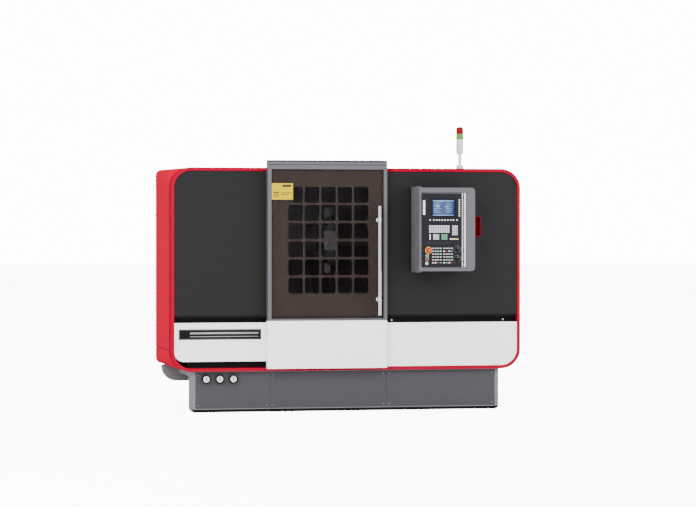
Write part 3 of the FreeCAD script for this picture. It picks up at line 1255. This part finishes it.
TAILSTOCK = {"tail_inset": 340, "tail_length": 230, "tail_top": 75, "quill_radius": 40, "quill_lead": 40,
             "quill_length": 200, "bore_length": 190, "centre_cone": 50, "centre_radius": 28,
             "centre_body": 50, "centre_shank": 14, "shank_depth": 60}
sizes(**TAILSTOCK)
tie(tail_left="bed_right - tail_inset", tail_right="tail_left + tail_length",
    quill_start="tail_left - quill_lead", centre_shoulder="quill_start - centre_body",
    centre_tip="centre_shoulder - centre_cone")
tail = body("tail_casting")
pad(tail, outline(tail, "tail_side", "YZ_Plane",
                  [("tail_way_low", "running_gap - way_drop"), ("tail_way_high", "running_gap - way_drop"),
                   ("tail_way_high", "60 - way_drop"), ("-40", "80 - way_drop"), ("tail_top", "-tail_top"),
                   ("tail_top", "tail_top - 20"), ("tail_top - 20", "tail_top"),
                   ("20 - tail_top", "tail_top"),
                   ("-tail_top", "tail_top - 20"), ("-tail_top - 20", "-tail_top"),
                   ("tail_way_low + 30", "60 - way_drop"), ("tail_way_low", "60 - way_drop")], "tail_left"),
    "tail_right - tail_left")
lean(carve("tailstock", join("tail_block", tail, rod("quill_collar", "x", "quill_radius + 20",
                                                     "tail_left - 12",
                                                     "20", "0", "0", "0")),
           rod("quill_bore", "x", "quill_radius + running_gap", "tail_left - 13", "bore_length + 13", "0",
               "0", "0")))
turned("quill", "x",
       [("quill_start", "centre_shank + running_gap"), ("quill_start", "quill_radius - 4"),
        ("quill_start + 4", "quill_radius"), ("quill_start + quill_length", "quill_radius"),
        ("quill_start + quill_length", "0"), ("quill_start + shank_depth + 1", "0"),
        ("quill_start + shank_depth + 1", "centre_shank + running_gap")],
       "0", "spindle_y", "spindle_z")
turned("live_centre", "x",
       [("centre_tip", "0"), ("centre_shoulder", "centre_radius"),
        ("quill_start - running_gap", "centre_radius"),
        ("quill_start - running_gap", "centre_shank"), ("quill_start + shank_depth", "centre_shank"),
        ("quill_start + shank_depth", "0")],
       "0", "spindle_y", "spindle_z")

# Electrical cabinet at the back, with its hinged door and the main switch ------------------------

CABINET = {"cabinet_half": 700, "cabinet_drop": 100, "cabinet_skin": 6, "door_margin": 10,
           "leaf_skin": 22, "switch_inset": 140, "switch_z": 1400, "switch_radius": 32,
           "switch_reach": 13, "hinge_radius": 8, "hinge_height": 60, "hinge_pin": 4, "hinge_foot": 5,
           "hinge_inset": 6, "hinge_rise": 111, "hinge_drop": 180}
sizes(**CABINET)
tie(cabinet_top="roof_top - cabinet_drop", cabinet_back="back_y", switch_x="cabinet_half - switch_inset",
    hinge_low="base_top + hinge_rise", hinge_high="cabinet_top - hinge_drop")
hinge_x, hinge_y = "hinge_inset - cabinet_half - hinge_pin / 2", "cabinet_back + leaf_skin / 2 + 1"
cabinet_hollow = block("cabinet_hollow", "cabinet_skin - cabinet_half", "cabinet_half - cabinet_skin",
                       "rear_back + cabinet_skin", "cabinet_back + 1", "base_top + cabinet_skin",
                       "cabinet_top - cabinet_skin")


def hinge_pin(name, z):
    """A pin for the door to turn on, standing on a small foot welded to the cabinet's edge."""
    foot = block(name + "_foot", f"{hinge_x} - hinge_foot", f"{hinge_x} + hinge_foot", "cabinet_back - 1",
                 hinge_y, f"{z} - 10", f"{z} - running_gap")
    return join(name, foot, rod(name + "_bar", "z", "hinge_pin", f"{z} - 10", "hinge_height + 8",
                                hinge_x, hinge_y, "0"))


def hinge_barrel(name, z):
    return rod(name, "z", "hinge_radius", z, "hinge_height", hinge_x, hinge_y, "0")


def hinge_hole(name, z):
    return rod(name, "z", "hinge_pin + running_gap", f"{z} - 1", "hinge_height + 2", hinge_x, hinge_y, "0")


RACK = {"rack_drop": 100, "rack_rise": 111, "rack_inset": 140, "rack_skin": 8, "relay_rise": 90,
        "relay_height": 70, "drive_count": 4}
sizes(**RACK)
tie(rack_top="cabinet_top - rack_drop", rack_bottom="base_top + rack_rise",
    rack_half="cabinet_half - rack_inset")
rack = block("mounting_plate", "-rack_half", "rack_half", "rear_back + cabinet_skin",
             "rear_back + cabinet_skin + rack_skin", "rack_bottom", "rack_top")
drive_units = [block(f"drive_unit_{step}", f"-rack_half + 60 + {step} * 180",
                     f"-rack_half + 200 + {step} * 180",
                     "rear_back + cabinet_skin + rack_skin", "rear_back + cabinet_skin + rack_skin + 150",
                     "rack_top - 420", "rack_top - 60") for step in times("drive_count")]
relay_row = block("relay_row", "-rack_half + 60", "rack_half - 60", "rear_back + cabinet_skin + rack_skin",
                  "rear_back + cabinet_skin + rack_skin + relay_rise", "rack_bottom + 300",
                  "rack_bottom + 300 + relay_height")
join("electrical_cabinet",
     carve("cabinet_shell", block("cabinet_block", "-cabinet_half", "cabinet_half", "rear_back",
                                  "cabinet_back",
                                  "base_top", "cabinet_top"), cabinet_hollow),
     rack, *drive_units, relay_row, hinge_pin("pin_low", "hinge_low"), hinge_pin("pin_high", "hinge_high"))
leaf = body("leaf")
pad(leaf, outline(leaf, "leaf_face", "XZ_Plane",
                  rectangle("door_margin - cabinet_half", "cabinet_half - door_margin",
                            "base_top + door_margin",
                            "cabinet_top - door_margin"), "-cabinet_back - running_gap - leaf_skin"),
    "leaf_skin")
carve("cabinet_door", join("leaf_and_barrels", leaf, hinge_barrel("barrel_low", "hinge_low"),
                           hinge_barrel("barrel_high", "hinge_high")),
      hinge_hole("hole_low", "hinge_low"), hinge_hole("hole_high", "hinge_high"))
turned("main_switch", "y",
       [("cabinet_back + running_gap + leaf_skin + running_gap", "0"),
        ("cabinet_back + running_gap + leaf_skin + running_gap", "switch_radius"),
        ("cabinet_back + running_gap + leaf_skin + running_gap + switch_reach * 0.4", "switch_radius"),
        ("cabinet_back + running_gap + leaf_skin + running_gap + switch_reach", "switch_radius * 0.8"),
        ("cabinet_back + running_gap + leaf_skin + running_gap + switch_reach", "0")],
       "switch_x", "0", "switch_z")

# Check every piece, then write each node as its own STEP file -------------------------------------

doc.recompute()
faulty = [item.Label for item in doc.Objects if "Invalid" in item.State or "Error" in item.State]
if faulty:
    raise RuntimeError("failed to recompute: " + ", ".join(faulty))
os.makedirs("parts", exist_ok=True)
shaped = [item for item in doc.Objects if item.isDerivedFrom("Part::Feature")]
nodes = [item for item in shaped if not any(user in shaped for user in item.InList)]
for node in nodes:
    if node.Shape.isNull() or not node.Shape.isValid():
        raise RuntimeError("bad solid: " + node.Label)
    node.Shape.exportStep(f"parts/{node.Label}.step")
print(len(nodes), "parts written")
